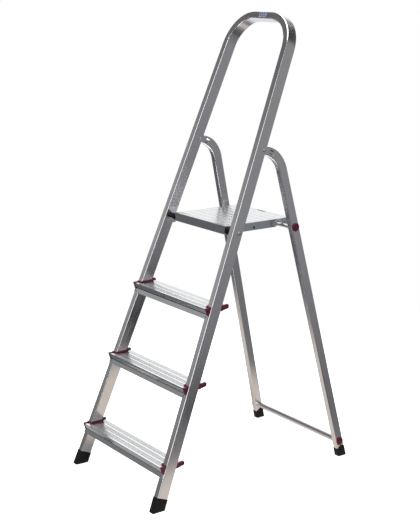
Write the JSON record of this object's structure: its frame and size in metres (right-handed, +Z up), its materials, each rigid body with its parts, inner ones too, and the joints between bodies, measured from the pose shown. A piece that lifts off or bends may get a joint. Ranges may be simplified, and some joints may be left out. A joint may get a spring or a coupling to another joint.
{
  "type": "platform step ladder",
  "caption": "Folding aluminium step ladder with a tall bent-tube hoop, ribbed steps, a hooked tilting platform and splayed rear legs.",
  "frame": {"origin": "on the floor, at the centre of the ladder's plan outline when it stands open", "axes": "+Z up, -Y towards the climber, +X to the climber's right"},
  "size_m": [0.5106, 0.8224, 1.5288],
  "materials": {
    "stile_tube": "mill finish, fine lengthwise draw lines",
    "leg_tube": "mill finish, fine lengthwise draw lines",
    "round_tube": "mill finish",
    "tread": "mill finish extrusion, ribbed",
    "deck": "mill finish extrusion, ribbed",
    "deck_side": "mill finish sheet",
    "hook": "mill finish sheet",
    "bracket": "mill finish",
    "rivet": "smooth",
    "dark_rivet": "darkened steel",
    "clip": "moulded, dark red",
    "plug": "moulded, dark red",
    "foot": "moulded, grooved sole",
    "bush": "moulded, black",
    "sticker": "plain printed film"
  },
  "bodies": {
    "front_frame": {"clip_lower_left": "clip", "clip_lower_right": "clip", "clip_middle_left": "clip", "clip_middle_right": "clip", "clip_upper_left": "clip", "clip_upper_right": "clip", "foot_front_left": "foot", "foot_front_right": "foot", "front_hoop": "stile_tube", "label": "sticker", "leg_rivet_left": "rivet", "leg_rivet_right": "rivet", "pivot_bolt_left": "rivet", "pivot_bolt_right": "rivet", "pivot_bush_left": "bush", "pivot_bush_right": "bush", "step_lower": "tread", "step_middle": "tread", "step_rivet_lower_left": "rivet", "step_rivet_lower_right": "rivet", "step_rivet_middle_left": "rivet", "step_rivet_middle_right": "rivet", "step_rivet_upper_left": "rivet", "step_rivet_upper_right": "rivet", "step_upper": "tread", "support_bracket_left": "bracket", "support_bracket_right": "bracket"},
    "rear_frame": {"cross_tube": "round_tube", "foot_rear_left": "foot", "foot_rear_right": "foot", "lower_bar": "round_tube", "plug_lower_left": "plug", "plug_lower_right": "plug", "plug_upper_left": "plug", "plug_upper_right": "plug", "rear_leg_left": "leg_tube", "rear_leg_right": "leg_tube"},
    "platform": {"platform_deck": "deck", "platform_hook_left": "hook", "platform_hook_right": "hook", "platform_rivet_left": "dark_rivet", "platform_rivet_right": "dark_rivet", "platform_side_left": "deck_side", "platform_side_right": "deck_side"}
  },
  "joints": [
    {"name": "rear_fold", "type": "hinge", "parent": "front_frame", "child": "rear_frame", "pos_m": [0, 0.0716, 1.10045], "axis": [-1, 0, 0], "range_deg": [0, 35]},
    {"name": "platform_tilt", "type": "hinge", "parent": "front_frame", "child": "platform", "pos_m": [0, -0.04024, 0.845], "axis": [1, 0, 0], "range_deg": [0, 67]}
  ]
}
